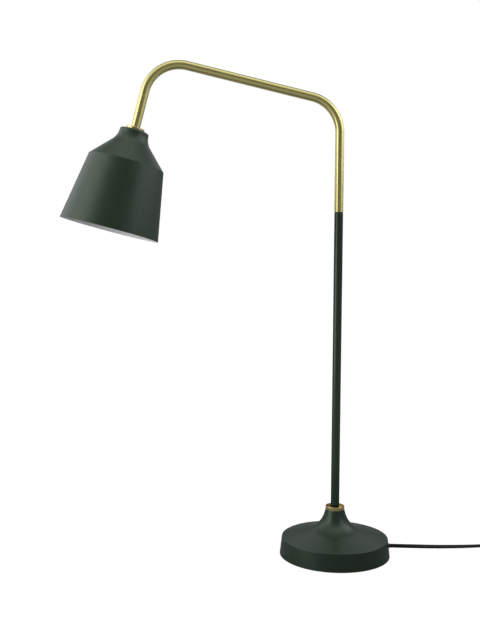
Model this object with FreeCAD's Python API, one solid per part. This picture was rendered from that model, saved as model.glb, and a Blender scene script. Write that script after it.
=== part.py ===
import FreeCAD, Part
import math
import os

# Desk lamp with a swivelling bent arm. Millimetres, +Z up.
# Origin: centre of the base's underside, on the surface that the lamp stands on.
# The arm reaches towards -X, and the cord leaves towards +X.

V = FreeCAD.Vector
GAP = 0.3                      # clearance between pieces that do not touch
PLAY = 0.05                    # round a spigot or a pin that turns in its hole
ON_ARC = 1 - math.sqrt(0.5)    # how far the middle of a rounded edge stands in, over its radius

# Tubes
TUBE_R = 6.0                   # outside radius of the pole and of the arm
TUBE_BORE_R = 5.0
JOINT_Z = 477.0                # height of the swivel joint

# Arm: up, over a bend, along a slope that rises outwards, over a bend, down to the shade
ARM_TURN = 9.0                 # degrees from -X towards -Y, in the lamp's resting pose
ARM_CORNER_Z = 624.4           # where the upright's line meets the slope's line
ARM_SLOPE = 11.5               # degrees above level, rising away from the pole
ARM_REACH = 253.0              # from the pole's axis to the corner over the shade
ARM_BEND_R = 48.0
SHADE_TILT = 14.4              # degrees between the shade's axis and the upright

# Shade, by distance along its axis from the arm's outer corner
COLLAR_S = 95.2                # top of the brass disc
COLLAR_R = 12.5
SHADE_TOP_S = 98.9
SHADE_MOUTH_S = 233.0
SHADE_SHOULDER_S = 142.6
SHADE_NECK_R = 19.3
SHADE_SHOULDER_R = 50.2
SHADE_MOUTH_R = 65.9
SHADE_FLARE_R = 23.1           # concave curve between the neck and the cone
SHADE_CONE = 43.8              # degrees between the cone's side and the axis
SHADE_SHEET = 1.0
SHADE_EDGE_R = 2.4             # rounded edge of the flat top

# Base
BASE_R = 76.6
RIM_R = 73.9                   # crease between the wall and the cone
COVER_Z = 1.0                  # lower edge of the cover
NECK_TOP_Z = 65.0
NECK_TOP_R = 13.1
NECK_TILT = 16.0               # degrees between the neck's side and the upright
CONE_RISE = 15.0               # degrees above level
NECK_CURVE_R = 35.0
SHEET = 1.2                    # thickness of the spun steel
PAD_H = 2.0
PAD_R = 72.0
PAD_IN_R = 46.0
PLATE_H = 1.5
WEIGHT_R = 69.0
WEIGHT_Z = 4.0
WEIGHT_TOP_Z = 24.0
BOSS_R = 14.0
BOSS_TOP_Z = 34.0
POCKET_R = 15.0                # under the weight, round the stem's nut
POCKET_TOP_Z = 20.0
STEM_BORE_R = 4.0
STEM_Z = 14.6
RING_TOP_Z = 69.7
RING_R = 13.2
NECK_SIDE = 6.65               # straight side of the neck, above its curve
CREASE_R = 0.8
PLATE_R = 73.8

# Fixings in the base
GLAND_FLANGE_R = 4.0
GLAND_NECK_R = 3.4
GLAND_NECK_L = 22.0            # threaded length inside the wall
GLAND_NUT_AF = 10.0
CHANNEL_HALF_W = 6.3           # under the weight, for the lead and the gland
CLAMP_X = 40.0
CLAMP_L = 8.0
CLAMP_W = 30.0
CLAMP_TOP_Z = 7.4
CLAMP_SCREW_Y = 10.5
CLAMP_SCREW_R = 1.4
CLAMP_SCREW_TOP_Z = 13.5
PLATE_SCREW_AT = 38.0
PLATE_SCREW_R = 2.0
PLATE_SCREW_TOP_Z = 15.0
SCREW_HEAD_R = 2.6
SLOT_W = 0.8
NUT_AF = 14.0
NUT_H = 3.0
STEM_WASHER_R = 11.0
WASHER_H = 1.2
LOCK_WASHER_R = 8.5
LOCK_WASHER_H = 0.8

# Swivel inside the top of the pole
POLE_TOP_Z = JOINT_Z - 0.4
ARM_FOOT_Z = JOINT_Z + 0.5     # the washer lies between the two
SPIGOT_R = 4.0
SPIGOT_BORE_R = 2.7
SPIGOT_Z = 436.0
SPIGOT_IN_ARM = 25.5
BUSH_Z = 438.4
STOP_Z = 452.0
STOP_R = 0.75
STOP_IN_R = 3.3
GROOVE_R = 3.15                # floor of the spigot's groove
RIB_ANGLE = 30.0               # what the groove leaves, opposite the pin
CLIP_R = 4.8
CLIP_IN_R = 3.4
CLIP_Z = 437.0
CLIP_H = 1.0

# Cord
CORD_R = 2.25                  # round solid with the flat lead's section area
ARC_SHARE = 0.45               # of the shorter run beside a corner goes into its arc
EXIT_AZIMUTH = 7.6             # degrees from +X towards +Y
EXIT_Z = 9.0
EXIT_R = 79.9                  # the gland's outer face
LEAD_BEND_R = 9.0              # inside the base, from level to upright

# Lampholder and bulb, by distance along the shade's axis
HOLDER_R = 17.0
HOLDER_WALL = 1.6
HOLDER_TOP_S = 100.3
HOLDER_LEAD_L = 8.0            # lead inside the cap
HOLDER_BODY_S = 116.0
HOLDER_END_S = 148.0
HOLDER_FLOOR = 3.0
HOLDER_RING_S = 133.0
HOLDER_RING_H = 6.0
HOLDER_RING_W = 3.5
CONTACT_R = 4.0
NIPPLE_BORE_R = 3.0
BULB_R = 22.5
BULB_CENTRE_S = 174.0
BULB_THREAD_R = 13.2
BULB_CAP_S = 122.0
BULB_CAP_L = 24.0

# Cord switch and plug
SWITCH_X = 292.0
SWITCH_Y = 38.0
SWITCH_L = 60.0
SWITCH_W = 26.0
SWITCH_H = 15.0
SWITCH_SPLIT_Z = 6.0
SWITCH_CORD_Z = 5.4
NOSE_L = 6.0                   # tapered end of the switch where the cord enters
NOSE_R = 5.2
NOSE_END_R = 3.6
ROCKER_L = 21.0
ROCKER_W = 11.0
ROCKER_Z = 8.5                 # height of the rocker's pin
ROCKER_PIN_R = 1.0
ROCKER_PIN_L = 17.0
SWITCH_SCREW_X = 17.0
SWITCH_SCREW_Y = 8.0
SWITCH_SCREW_R = 1.5
SWITCH_SCREW_TOP_Z = 11.5
SWITCH_HEAD_H = 2.0
COIL_X = 262.0
COIL_Y = -57.0
COIL_OUT_R = 37.8
COIL_IN_R = 21.2
COIL_H = 10.8
COIL_EDGE = 1.7                # the flat top and bottom stop this far from the sides
PLUG_X = 316.0                 # where the cord enters the plug's strain relief
PLUG_Y = -70.0
PLUG_RELIEF_L = 20.0
PLUG_RELIEF_R = 3.4            # at the cord's end
PLUG_RELIEF_END_R = 4.8
PLUG_L = 35.0
PLUG_W = 35.0
PLUG_H = 13.7
PIN_R = 2.0
PIN_L = 19.0
PIN_SPACING = 18.6

# The free cord's route, chosen by hand; each corner gets a tangent arc
LEAD_ROUTE = [
    V(79.2, 10.6, 9.0), V(108.0, 14.3, 7.2), V(152.0, 22.3, 3.9), V(205.0, 30.3, 2.3),
    V(238.0, 36.4, 2.7), V(262.0, 38.0, 5.4),
]
TAIL_ROUTE = [
    V(322.0, 38.0, 5.4), V(351.5, 36.6, 2.3), V(368.6, 8.0, 2.4), V(351.0, -21.6, 2.3),
    V(317.0, -20.4, 2.5), V(292.0, -21.6, 2.6), V(268.0, -22.3, 2.4),
]
END_ROUTE = [
    V(268.0, -91.4, 8.6), V(284.0, -87.5, 7.6), V(299.0, -75.5, 6.4), V(316.0, -70.0, 6.85),
]


def save(name, shape):
    """Write one named piece."""
    for solid in shape.Solids:
        if not solid.isValid() or solid.Volume <= 0:
            raise ValueError(name + " is not a valid solid")
    if not shape.Solids:
        raise ValueError(name + " has no solid")
    shape.exportStep("parts/" + name + ".step")


def disc(radius, low, high, x=0.0, y=0.0):
    return Part.makeCylinder(radius, high - low, V(x, y, low))


def ring(outer, inner, low, high):
    return disc(outer, low, high).cut(disc(inner, low, high))


def rod_x(radius, start, end, z=EXIT_Z):
    """Cylinder along +X, by default at the cord's height in the base."""
    return Part.makeCylinder(radius, end - start, V(start, 0, z), V(1, 0, 0))


def block(x0, x1, y0, y1, z0, z1):
    return Part.makeBox(x1 - x0, y1 - y0, z1 - z0, V(x0, y0, z0))


def turned(shape, degrees):
    """A copy turned about the pole's axis."""
    copy = shape.copy()
    copy.rotate(V(0, 0, 0), V(0, 0, 1), degrees)
    return copy


def outline(start, *steps):
    """Closed outline in the XZ plane; a step is a point, or (a point on the arc, its end)."""
    here = V(start[0], 0, start[1])
    first = here
    edges = []
    for step in steps:
        if isinstance(step[0], tuple):
            through = V(step[0][0], 0, step[0][1])
            there = V(step[1][0], 0, step[1][1])
            edges.append(Part.Arc(here, through, there).toShape())
        else:
            there = V(step[0], 0, step[1])
            edges.append(Part.LineSegment(here, there).toShape())
        here = there
    if here.distanceToPoint(first) > 1e-6:
        edges.append(Part.LineSegment(here, first).toShape())
    return Part.Face(Part.Wire(edges))


def lathe(start, *steps):
    """Solid of revolution about Z from an outline of (radius, height) points."""
    return outline(start, *steps).revolve(V(0, 0, 0), V(0, 0, 1), 360)


def joined(*shapes):
    whole = shapes[0]
    for shape in shapes[1:]:
        whole = whole.fuse(shape)
    return whole.removeSplitter()


def path(points, radii):
    """Straight runs joined by tangent arcs of the given radii, one for each inner point."""
    edges = []
    here = points[0]
    for k in range(1, len(points) - 1):
        into = (points[k] - points[k - 1]).normalize()
        out = (points[k + 1] - points[k]).normalize()
        half = into.getAngle(out) / 2
        back = radii[k - 1] * math.tan(half)
        start = points[k] - into * back
        end = points[k] + out * back
        towards = (out - into).normalize()
        middle = points[k] + towards * (radii[k - 1] / math.cos(half) - radii[k - 1])
        edges.append(Part.LineSegment(here, start).toShape())
        edges.append(Part.Arc(start, middle, end).toShape())
        here = end
    edges.append(Part.LineSegment(here, points[-1]).toShape())
    return Part.Wire(edges)


def swept(wire, points, radius):
    circle = Part.Wire(Part.makeCircle(radius, points[0], points[1] - points[0]))
    return wire.makePipeShell([circle], True, True)


def free_cord(name, points):
    """Cord tube whose arcs are as large as their runs allow."""
    radii = []
    for k in range(1, len(points) - 1):
        before = points[k] - points[k - 1]
        after = points[k + 1] - points[k]
        half = before.getAngle(after) / 2
        radii.append(ARC_SHARE * min(before.Length, after.Length) / math.tan(half))
    wire = path(points, radii)
    tube = swept(wire, points, CORD_R)
    print(name, "length", round(wire.Length, 1), "arc radii", [round(r, 1) for r in radii])
    expected = math.pi * CORD_R**2 * wire.Length
    print(name, "volume", round(tube.Volume), "section x length", round(expected))
    return tube


# ---------------------------------------------------------------- base

def crossing(p, p_way, q, q_way):
    """Where two lines in the XZ plane meet."""
    gap = q - p
    cross = p_way.x * q_way.z - p_way.z * q_way.x
    return p + p_way * ((gap.x * q_way.z - gap.z * q_way.x) / cross)


def cover_points(inset):
    """Corner and curve points of the cover's outline, moved inwards by the inset."""
    tilt = math.radians(NECK_TILT)
    steep = math.radians(90 - CONE_RISE)
    neck_way = V(math.sin(tilt), 0, -math.cos(tilt))
    tangent = V(NECK_TOP_R, 0, NECK_TOP_Z) + neck_way * NECK_SIDE
    centre = tangent + V(math.cos(tilt), 0, math.sin(tilt)) * NECK_CURVE_R

    def on_curve(angle, radius):
        return centre - V(math.cos(angle), 0, math.sin(angle)) * radius

    radius = NECK_CURVE_R + inset
    upper, middle, lower = [on_curve(a, radius) for a in (tilt, (tilt + steep) / 2, steep)]
    top = crossing(upper, neck_way, V(0, 0, NECK_TOP_Z), V(1, 0, 0))
    cone_way = V(math.sin(steep), 0, -math.cos(steep))
    rim = crossing(on_curve(steep, NECK_CURVE_R), cone_way, V(RIM_R, 0, 0), V(0, 0, 1))
    wall_way = (V(BASE_R, 0, COVER_Z) - rim).normalize()
    wall = V(BASE_R, 0, COVER_Z) + V(wall_way.z, 0, -wall_way.x) * inset
    rim = crossing(lower, cone_way, wall, wall_way)
    foot = crossing(wall, wall_way, V(0, 0, COVER_Z), V(1, 0, 0))
    return [(p.x, p.z) for p in (top, upper, middle, lower, rim, foot)]


def base_cover():
    top, upper, middle, lower, rim, foot = cover_points(0)
    in_top, in_upper, in_middle, in_lower, in_rim, in_foot = cover_points(SHEET)
    shell = lathe(
        top, upper, (middle, lower), rim, foot, in_foot, in_rim, in_lower, (in_middle, in_upper), in_top
    )
    crease = [e for e in shell.Edges if e.Closed and at_height(e, rim[1]) and touches_radius(e, rim[0])]
    shell = shell.makeFillet(CREASE_R, crease)
    hole = rod_x(GLAND_NECK_R + 0.1, WEIGHT_R, EXIT_R)
    return shell.cut(at_exit(hole))


def at_height(edge, z):
    return abs(edge.CenterOfMass.z - z) < 0.01 and edge.BoundBox.ZLength < 0.01


def touches_radius(edge, radius):
    return abs(edge.BoundBox.XMax - radius) < 0.01


def at_exit(shape):
    """Turn a piece drawn along +X to the cord's side of the base."""
    return turned(shape, EXIT_AZIMUTH)


def base_weight():
    """Cast disc with a boss for the pole, a pocket for its nut and a channel for the lead."""
    rim_r = 3.0
    weight = disc(WEIGHT_R, WEIGHT_Z, WEIGHT_TOP_Z)
    weight = weight.makeFillet(rim_r, [e for e in weight.Edges if at_height(e, WEIGHT_TOP_Z)])
    weight = joined(weight, disc(BOSS_R, WEIGHT_TOP_Z, BOSS_TOP_Z))
    weight = weight.cut(disc(POCKET_R, WEIGHT_Z, POCKET_TOP_Z))
    weight = weight.cut(disc(TUBE_BORE_R, WEIGHT_Z, BOSS_TOP_Z))
    channel = block(0, WEIGHT_R, -CHANNEL_HALF_W, CHANNEL_HALF_W, WEIGHT_Z, EXIT_Z + CHANNEL_HALF_W)
    weight = weight.cut(at_exit(channel)).cut(at_exit(clamp_seat()))
    for x, y in clamp_screw_places():
        weight = weight.cut(at_exit(disc(CLAMP_SCREW_R, WEIGHT_Z, CLAMP_SCREW_TOP_Z, x, y)))
    for x, y in plate_screw_places():
        weight = weight.cut(disc(PLATE_SCREW_R, WEIGHT_Z, PLATE_SCREW_TOP_Z, x, y))
    return weight


def clamp_seat():
    half = CLAMP_L / 2
    return block(CLAMP_X - half, CLAMP_X + half, -CLAMP_W / 2, CLAMP_W / 2, WEIGHT_Z, CLAMP_TOP_Z)


def plate_screw_places():
    angles = [math.radians(EXIT_AZIMUTH + 60 + 120 * k) for k in range(3)]
    return [(PLATE_SCREW_AT * math.cos(a), PLATE_SCREW_AT * math.sin(a)) for a in angles]


def clamp_screw_places():
    return [(CLAMP_X, -CLAMP_SCREW_Y), (CLAMP_X, CLAMP_SCREW_Y)]


def base_plate():
    plate = disc(PLATE_R, PAD_H, PAD_H + PLATE_H)
    for x, y in plate_screw_places():
        plate = plate.cut(disc(PLATE_SCREW_R, PAD_H, PAD_H + PLATE_H, x, y))
    return plate


def plate_screws():
    """Three pan-head screws through the plate into the weight, heads above the floor."""
    head_h = 1.7
    head_r = 3.6
    slot_h = 0.8
    low = PAD_H - head_h
    screws = []
    for x, y in plate_screw_places():
        head = Part.makeCone(SCREW_HEAD_R, head_r, head_h, V(x, y, low))
        slot = block(x - SLOT_W / 2, x + SLOT_W / 2, y - SCREW_HEAD_R, y + SCREW_HEAD_R, low, low + slot_h)
        shank = disc(PLATE_SCREW_R, PAD_H, PLATE_SCREW_TOP_Z, x, y)
        screws.append(joined(head, shank).cut(slot))
    return Part.makeCompound(screws)


def clamp_screws():
    screws = []
    for x, y in clamp_screw_places():
        shank = disc(CLAMP_SCREW_R, WEIGHT_Z, CLAMP_SCREW_TOP_Z, x, y)
        screws.append(joined(clamp_screw_head(x, y), shank))
    return at_exit(Part.makeCompound(screws))


def clamp_screw_head(x, y):
    """Countersunk head, flush with the clamp's underside."""
    head_h = 1.2
    return Part.makeCone(SCREW_HEAD_R, CLAMP_SCREW_R, head_h, V(x, y, WEIGHT_Z))


def cord_clamp():
    """Saddle that presses the lead into its channel."""
    bar = clamp_seat().cut(rod_x(CORD_R, CLAMP_X - CLAMP_L / 2, CLAMP_X + CLAMP_L / 2))
    for x, y in clamp_screw_places():
        bar = bar.cut(disc(CLAMP_SCREW_R, WEIGHT_Z, CLAMP_TOP_Z, x, y)).cut(clamp_screw_head(x, y))
    return at_exit(bar)


def cord_gland():
    """Tapered flange outside the wall, neck through it and threaded body inside."""
    flange_x = wall_x(EXIT_Z)
    inner_x = flange_x - GLAND_NECK_L
    taper = 0.9
    flange = Part.makeCone(
        GLAND_FLANGE_R, GLAND_FLANGE_R - taper, EXIT_R - flange_x, V(flange_x, 0, EXIT_Z), V(1, 0, 0)
    )
    gland = joined(flange, rod_x(GLAND_NECK_R, inner_x, flange_x))
    return at_exit(gland.cut(rod_x(CORD_R, inner_x, EXIT_R)))


def wall_x(z):
    """Outside radius of the wall at a height, plus room for the flange's flat face."""
    room = 0.5
    rim, foot = cover_points(0)[4:]
    return foot[0] + (rim[0] - foot[0]) * (z - foot[1]) / (rim[1] - foot[1]) + room


def gland_nut():
    behind_flange = 9.0
    nut = hexagon(GLAND_NUT_AF, NUT_H).cut(disc(GLAND_NECK_R, 0, NUT_H))
    nut.rotate(V(0, 0, 0), V(0, 1, 0), 90)
    nut.translate(V(wall_x(EXIT_Z) - behind_flange, 0, EXIT_Z))
    return at_exit(nut)


def hexagon(across, height):
    """Hexagonal prism on the Z axis, measured across its flats."""
    corner = across / math.sqrt(3)
    angles = [math.radians(60 * k + 30) for k in range(7)]
    wire = Part.makePolygon([V(corner * math.cos(a), corner * math.sin(a), 0) for a in angles])
    return Part.Face(wire).extrude(V(0, 0, height))


def base_collar():
    """Brass ring on the neck, hollowed on top round the pole, with a plug inside the neck."""
    plug_r = 10.6
    plug_z = NECK_TOP_Z - 7.0
    hollow_r = RING_R - 1.8
    hollow_z = RING_TOP_Z - 3.6
    edge = 0.7
    arc = edge * ON_ARC
    return lathe(
        (TUBE_R, plug_z), (plug_r, plug_z), (plug_r, NECK_TOP_Z), (RING_R, NECK_TOP_Z),
        (RING_R, RING_TOP_Z - edge), ((RING_R - arc, RING_TOP_Z - arc), (RING_R - edge, RING_TOP_Z)),
        (hollow_r, RING_TOP_Z), (hollow_r, hollow_z), (TUBE_R, hollow_z),
    )


# ---------------------------------------------------------------- pole

def pole_stem():
    """Hollow threaded rod that holds the pole's foot to the weight."""
    in_pole = 24.0
    return ring(TUBE_BORE_R, STEM_BORE_R, STEM_Z, BOSS_TOP_Z + in_pole)


def stem_washer():
    return ring(STEM_WASHER_R, TUBE_BORE_R, POCKET_TOP_Z - WASHER_H, POCKET_TOP_Z)


def stem_lock_washer():
    top = POCKET_TOP_Z - WASHER_H
    return ring(LOCK_WASHER_R, TUBE_BORE_R, top - LOCK_WASHER_H, top)


def stem_nut():
    nut = hexagon(NUT_AF, NUT_H)
    nut.translate(V(0, 0, POCKET_TOP_Z - WASHER_H - LOCK_WASHER_H - NUT_H))
    return nut.cut(disc(TUBE_BORE_R, STEM_Z, POCKET_TOP_Z))


def swivel_bush():
    """Bearing in the pole's top, with a cross hole for the stop pin."""
    bush = ring(TUBE_BORE_R, SPIGOT_R + PLAY, BUSH_Z, POLE_TOP_Z)
    return bush.cut(rod_x(STOP_R, 0, TUBE_BORE_R, STOP_Z))


def stop_pin():
    return rod_x(STOP_R, STOP_IN_R, TUBE_BORE_R - PLAY, STOP_Z)


def swivel_washer():
    edge = 0.15
    return ring(TUBE_R - edge, SPIGOT_R + edge, POLE_TOP_Z, ARM_FOOT_Z - edge)


def flex_lower():
    """Lead from the gland through the base and up the pole."""
    points = [V(EXIT_R, 0, EXIT_Z), V(0, 0, EXIT_Z), V(0, 0, JOINT_Z - GAP)]
    return at_exit(swept(path(points, [LEAD_BEND_R]), points, CORD_R))


# ---------------------------------------------------------------- arm

def arm_points(end_s):
    slope = math.radians(ARM_SLOPE)
    corner = V(-ARM_REACH, 0, ARM_CORNER_Z + ARM_REACH * math.tan(slope))
    return [V(0, 0, ARM_FOOT_Z), V(0, 0, ARM_CORNER_Z), corner, corner + shade_way() * end_s]


def shade_way():
    tilt = math.radians(SHADE_TILT)
    return V(-math.sin(tilt), 0, -math.cos(tilt))


def to_shade(shape):
    """Place a piece drawn hanging below the origin, top at z = -s, on the shade's axis."""
    placed = shape.copy()
    placed.rotate(V(0, 0, 0), V(0, 1, 0), SHADE_TILT)
    placed.translate(arm_points(0)[2])
    return turned(placed, ARM_TURN)


def arm_tube():
    points = arm_points(COLLAR_S)
    wire = path(points, [ARM_BEND_R, ARM_BEND_R])
    return turned(swept(wire, points, TUBE_R).cut(swept(wire, points, TUBE_BORE_R)), ARM_TURN)


def swivel_spigot():
    """Turns in the bush; the groove and the stop pin limit it."""
    lower = ring(SPIGOT_R, SPIGOT_BORE_R, SPIGOT_Z, ARM_FOOT_Z)
    upper = ring(TUBE_BORE_R, SPIGOT_BORE_R, ARM_FOOT_Z, ARM_FOOT_Z + SPIGOT_IN_ARM)
    half = STOP_R + GAP
    groove = ring(TUBE_BORE_R, GROOVE_R, STOP_Z - half, STOP_Z + half)
    rib = Part.makeCylinder(TUBE_BORE_R, 2 * half, V(0, 0, STOP_Z - half), V(0, 0, 1), RIB_ANGLE)
    rib.rotate(V(0, 0, 0), V(0, 0, 1), 180 - RIB_ANGLE / 2)
    clip_groove = ring(TUBE_BORE_R, CLIP_IN_R, CLIP_Z, CLIP_Z + CLIP_H)
    return joined(lower, upper).cut(groove.cut(rib)).cut(clip_groove)


def spigot_clip():
    """Open retaining ring under the bush."""
    half_mouth = 1.2
    clip = ring(CLIP_R, CLIP_IN_R, CLIP_Z, CLIP_Z + CLIP_H)
    return clip.cut(block(0, CLIP_R, -half_mouth, half_mouth, CLIP_Z, CLIP_Z + CLIP_H))


def flex_upper():
    """Lead through the arm into the lampholder."""
    points = arm_points(HOLDER_TOP_S + HOLDER_LEAD_L)
    points[0] = V(0, 0, JOINT_Z + GAP)
    return turned(swept(path(points, [ARM_BEND_R, ARM_BEND_R]), points, CORD_R), ARM_TURN)


def shade_collar():
    """Turned disc between the arm's end and the shade, rounded on top and bevelled below."""
    edge = 0.8
    arc = edge * ON_ARC
    bevel = 0.4
    body = lathe(
        (TUBE_BORE_R, -COLLAR_S), (COLLAR_R - edge, -COLLAR_S),
        ((COLLAR_R - arc, -COLLAR_S - arc), (COLLAR_R, -COLLAR_S - edge)),
        (COLLAR_R, bevel - SHADE_TOP_S), (COLLAR_R - bevel, -SHADE_TOP_S), (TUBE_BORE_R, -SHADE_TOP_S),
    )
    return to_shade(body)


def arm_nipple():
    """Short threaded tube from the arm's end, through the disc and the shade, to the lampholder."""
    in_arm = 12.0
    in_holder = 7.0
    return to_shade(ring(TUBE_BORE_R, NIPPLE_BORE_R, -HOLDER_TOP_S - in_holder, in_arm - COLLAR_S))


def shade():
    """Spun sheet: flat top, short neck, concave flare, cone, sharp shoulder, long taper."""
    steep = math.radians(SHADE_CONE)
    half = steep / 2
    cone_width = SHADE_SHOULDER_R - SHADE_NECK_R - SHADE_FLARE_R * (1 - math.cos(steep))
    neck_s = SHADE_SHOULDER_S - cone_width / math.tan(steep) - SHADE_FLARE_R * math.sin(steep)
    centre_r = SHADE_NECK_R + SHADE_FLARE_R
    t = SHADE_SHEET
    r_out = SHADE_FLARE_R
    r_in = SHADE_FLARE_R + t

    def flare(angle, radius):
        return (centre_r - radius * math.cos(angle), -neck_s - radius * math.sin(angle))

    taper = math.atan((SHADE_MOUTH_R - SHADE_SHOULDER_R) / (SHADE_MOUTH_S - SHADE_SHOULDER_S))
    mitre = t * math.tan((steep - taper) / 2)
    inner_shoulder = (
        SHADE_SHOULDER_R - t * math.cos(steep) - mitre * math.sin(steep),
        -SHADE_SHOULDER_S - t * math.sin(steep) + mitre * math.cos(steep),
    )
    edge = SHADE_EDGE_R
    top = -SHADE_TOP_S
    arc = edge * ON_ARC
    body = lathe(
        (TUBE_BORE_R, top), (SHADE_NECK_R - edge, top),
        ((SHADE_NECK_R - arc, top - arc), (SHADE_NECK_R, top - edge)),
        flare(0, r_out), (flare(half, r_out), flare(steep, r_out)),
        (SHADE_SHOULDER_R, -SHADE_SHOULDER_S),
        (SHADE_MOUTH_R, -SHADE_MOUTH_S), (SHADE_MOUTH_R - t, -SHADE_MOUTH_S),
        inner_shoulder,
        flare(steep, r_in), (flare(half, r_in), flare(0, r_in)),
        (SHADE_NECK_R - t, top - edge), (SHADE_NECK_R - edge, top - t), (TUBE_BORE_R, top - t),
    )
    return to_shade(body)


# ---------------------------------------------------------------- lampholder and bulb

def holder_cap():
    """Domed top of the lampholder, screwed up under the shade."""
    flat_r = 11.0
    dome_h = 7.0
    bulge = 2.4
    top = -HOLDER_TOP_S
    floor = top - HOLDER_LEAD_L
    inner_r = HOLDER_R - HOLDER_WALL
    return to_shade(lathe(
        (TUBE_BORE_R, top), (flat_r, top), ((inner_r, top - bulge), (HOLDER_R, top - dome_h)),
        (HOLDER_R, -HOLDER_BODY_S), (inner_r, -HOLDER_BODY_S), (inner_r, floor - bulge),
        (inner_r - bulge, floor), (TUBE_BORE_R, floor),
    ))


def holder_body():
    """Cup with a floor that carries the contact and a wall round the screw shell."""
    wall = ring(HOLDER_R, BULB_THREAD_R + HOLDER_WALL, -HOLDER_END_S, -HOLDER_BODY_S)
    floor = ring(HOLDER_R, CONTACT_R, -HOLDER_BODY_S - HOLDER_FLOOR, -HOLDER_BODY_S)
    return to_shade(joined(wall, floor))


def holder_shell():
    """Metal screw shell inside the holder's body."""
    rim = 3.0
    top = -HOLDER_BODY_S - HOLDER_FLOOR
    return to_shade(ring(BULB_THREAD_R + HOLDER_WALL, BULB_THREAD_R + GAP, rim - HOLDER_END_S, top))


def holder_contact():
    """Centre contact under the lead."""
    bore_r = 1.5
    return to_shade(ring(CONTACT_R, bore_r, GAP - BULB_CAP_S, -HOLDER_BODY_S))


def holder_ring():
    """Threaded ring on the holder's body."""
    low = -HOLDER_RING_S - HOLDER_RING_H
    return to_shade(ring(HOLDER_R + HOLDER_RING_W, HOLDER_R, low, -HOLDER_RING_S))


def bulb_cap():
    """Hollow screw cap with its contact end."""
    wall = 0.8
    end_r = 4.6
    end_h = 3.0
    top = -BULB_CAP_S
    low = top - BULB_CAP_L
    inner_r = BULB_THREAD_R - wall
    return to_shade(lathe(
        (0, top), (end_r, top), (BULB_THREAD_R, top - end_h), (BULB_THREAD_R, low),
        (inner_r, low), (inner_r, top - end_h - wall), (end_r, top - wall), (0, top - wall),
    ))


def bulb_glass():
    """Thin round globe that narrows to its cap."""
    neck_s = BULB_CAP_S + BULB_CAP_L
    wall = 1.0

    def globe(radius, neck_r):
        side = math.sqrt(radius**2 - neck_r**2)
        middle = (math.atan2(side, neck_r) - math.pi / 2) / 2
        through = (radius * math.cos(middle), -BULB_CENTRE_S + radius * math.sin(middle))
        return (neck_r, -BULB_CENTRE_S + side), through, (0, -BULB_CENTRE_S - radius)

    start, through, end = globe(BULB_R, BULB_THREAD_R)
    in_start, in_through, in_end = globe(BULB_R - wall, BULB_THREAD_R - wall)
    return to_shade(lathe(
        (BULB_THREAD_R, -neck_s), start, (through, end), in_end, (in_through, in_start),
        (BULB_THREAD_R - wall, -neck_s),
    ))


# ---------------------------------------------------------------- cord switch and plug

def at_switch(shape):
    placed = shape.copy()
    placed.translate(V(SWITCH_X, SWITCH_Y, 0))
    return placed


def switch_form():
    """Closed outer form: rounded box with a tapered nose at each end."""
    side_r = 6.0
    top_r = 2.5
    half = SWITCH_L / 2 - NOSE_L
    nose_root = half - side_r
    body = block(-half, half, -SWITCH_W / 2, SWITCH_W / 2, 0, SWITCH_H)
    body = body.makeFillet(side_r, [e for e in body.Edges if e.BoundBox.ZLength > 1])
    body = body.makeFillet(top_r, [e for e in body.Edges if at_height(e, SWITCH_H)])
    for side in (-1, 1):
        root = V(side * nose_root, 0, SWITCH_CORD_Z)
        body = body.fuse(Part.makeCone(NOSE_R, NOSE_END_R, SWITCH_L / 2 - nose_root, root, V(side, 0, 0)))
    return body.removeSplitter()


def switch_slice(low, high):
    """The form between two heights, without the rocker's well, its pin and the screws."""
    part = switch_form().common(block(-SWITCH_L, SWITCH_L, -SWITCH_W, SWITCH_W, low, high))
    return at_switch(part.cut(rocker_well()).cut(rocker_pin_form()).cut(switch_screw_holes()))


def rocker_well():
    floor_z = 2.0
    half_l = ROCKER_L / 2 + GAP
    half_w = ROCKER_W / 2 + GAP
    return block(-half_l, half_l, -half_w, half_w, floor_z, SWITCH_H)


def rocker_pin_form(play=0.0):
    start = V(0, -ROCKER_PIN_L / 2, ROCKER_Z)
    return Part.makeCylinder(ROCKER_PIN_R + play, ROCKER_PIN_L, start, V(0, 1, 0))


def switch_base():
    return switch_slice(0, SWITCH_SPLIT_Z)


def switch_cover():
    return switch_slice(SWITCH_SPLIT_Z, SWITCH_H)


def switch_screw_places():
    return [(-SWITCH_SCREW_X, SWITCH_SCREW_Y), (SWITCH_SCREW_X, -SWITCH_SCREW_Y)]


def switch_screw_holes():
    holes = []
    for x, y in switch_screw_places():
        holes.append(disc(SWITCH_SCREW_R, 0, SWITCH_SCREW_TOP_Z, x, y))
        holes.append(disc(SCREW_HEAD_R, 0, SWITCH_HEAD_H, x, y))
    return joined(*holes)


def switch_screws():
    """Slotted screws, sunk in the underside."""
    sunk = 0.4
    slot_z = 1.0
    half = SLOT_W / 2
    screws = []
    for x, y in switch_screw_places():
        head = disc(SCREW_HEAD_R, sunk, SWITCH_HEAD_H, x, y)
        shank = disc(SWITCH_SCREW_R, SWITCH_HEAD_H, SWITCH_SCREW_TOP_Z, x, y)
        slot = block(x - SCREW_HEAD_R, x + SCREW_HEAD_R, y - half, y + half, sunk, slot_z)
        screws.append(joined(head, shank).cut(slot))
    return at_switch(Part.makeCompound(screws))


def switch_rocker():
    """Rocker on the cross pin; its ends lean in, so that they clear the well when it tips."""
    half = ROCKER_L / 2 - GAP
    low = 4.6
    low_lean = 1.7
    high = SWITCH_H + 1.6
    high_lean = 0.6
    saddle = SWITCH_H + 0.2
    side = outline(
        (low_lean - half, low), (half - low_lean, low), (half, ROCKER_Z), (half - high_lean, high),
        ((0, saddle), (high_lean - half, high)), (-half, ROCKER_Z),
    )
    body = side.extrude(V(0, ROCKER_W, 0))
    body.translate(V(0, -ROCKER_W / 2, 0))
    return at_switch(body.cut(rocker_pin_form(PLAY)))


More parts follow.
